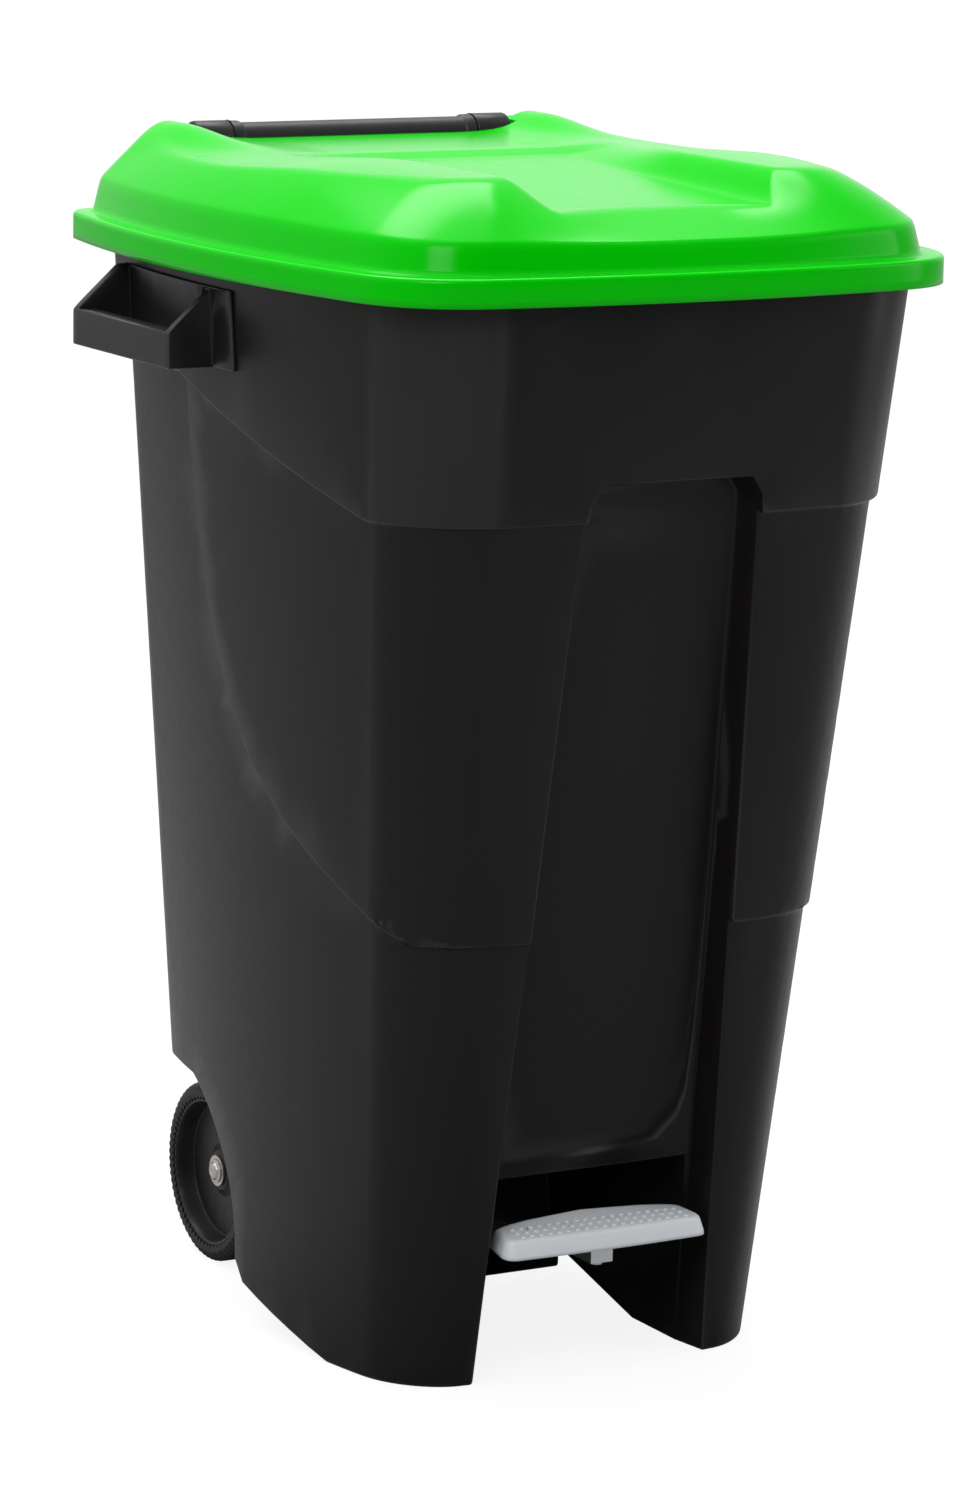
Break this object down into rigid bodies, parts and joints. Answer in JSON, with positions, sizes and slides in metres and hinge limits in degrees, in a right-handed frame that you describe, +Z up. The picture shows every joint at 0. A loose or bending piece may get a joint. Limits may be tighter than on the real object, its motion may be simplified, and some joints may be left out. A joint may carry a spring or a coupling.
{
  "type": "pedal wheelie bin",
  "caption": "Tall black two-wheeled refuse bin with a hinged bright green lid that a foot pedal lifts through a lever and rod, side handles and a rear grip bar.",
  "frame": {"origin": "on the floor, under the centre of the whole bin's box", "axes": "+Z up, the pedal and the front face -Y, the grip bar and the wheels are towards +Y, +X is to the right of someone looking along +Y"},
  "size_m": [0.53, 0.5819, 0.88],
  "materials": {
    "body_plastic": "black moulded polyethylene with a fine grain",
    "handle_plastic": "black moulded plastic",
    "grip_plastic": "black plastic-covered tube",
    "lid_plastic": "bright green glossy polypropylene",
    "pedal_plastic": "light grey moulded plastic",
    "galvanised_steel": "galvanised",
    "zinc_steel": "bright zinc",
    "bush_plastic": "black acetal",
    "wheel_plastic": "black polypropylene",
    "tyre_rubber": "black rubber"
  },
  "bodies": {
    "bin": {"tub": "body_plastic", "side_handle_left": "handle_plastic", "side_handle_right": "handle_plastic", "grip_tube": "grip_plastic", "axle": "zinc_steel", "axle_cap_left": "zinc_steel", "axle_cap_right": "zinc_steel", "outer_washer_left": "zinc_steel", "outer_washer_right": "zinc_steel", "inner_washer_left": "zinc_steel", "inner_washer_right": "zinc_steel", "upper_rod_guide": "bush_plastic", "lower_rod_guide": "bush_plastic", "guide_screws": "zinc_steel", "pivot_bracket_left": "zinc_steel", "pivot_bracket_right": "zinc_steel", "bracket_screws": "zinc_steel", "pedal_pivot_pin": "galvanised_steel"},
    "lid": {"lid": "lid_plastic", "hinge_pin_left": "zinc_steel", "hinge_pin_right": "zinc_steel", "lid_yoke": "galvanised_steel", "yoke_screw": "zinc_steel"},
    "rod": {"lift_rod": "galvanised_steel", "rod_top_pin": "galvanised_steel", "rod_low_pin": "galvanised_steel"},
    "pedal": {"pedal_lever": "galvanised_steel", "pedal_tread": "pedal_plastic", "tread_screws": "zinc_steel"},
    "left_wheel": {"wheel_left": "wheel_plastic", "tyre_left": "tyre_rubber", "wheel_bush_left": "bush_plastic"},
    "right_wheel": {"wheel_right": "wheel_plastic", "tyre_right": "tyre_rubber", "wheel_bush_right": "bush_plastic"}
  },
  "joints": [
    {"name": "lid_hinge", "type": "hinge", "parent": "bin", "child": "lid", "pos_m": [0, 0.242, 0.8655], "axis": [-1, 0, 0], "range_deg": [0, 80]},
    {"name": "rod_slide", "type": "slide", "parent": "bin", "child": "rod", "axis": [0, 0, 1], "range_m": [0, 0.05435]},
    {"name": "pedal_pivot", "type": "hinge", "parent": "bin", "child": "pedal", "pos_m": [0, 0.042, 0.06], "axis": [1, 0, 0], "range_deg": [0, 19.34]},
    {"name": "left_wheel_spin", "type": "hinge", "parent": "bin", "child": "left_wheel", "pos_m": [-0.109, 0.221, 0.07], "axis": [1, 0, 0], "continuous": true},
    {"name": "right_wheel_spin", "type": "hinge", "parent": "bin", "child": "right_wheel", "pos_m": [0.109, 0.221, 0.07], "axis": [1, 0, 0], "continuous": true}
  ],
  "couplings": [
    {"joint": "rod_slide", "follows": "lid_hinge", "m_per_rad": 0.03864},
    {"joint": "pedal_pivot", "follows": "lid_hinge", "ratio": 0.2393}
  ]
}
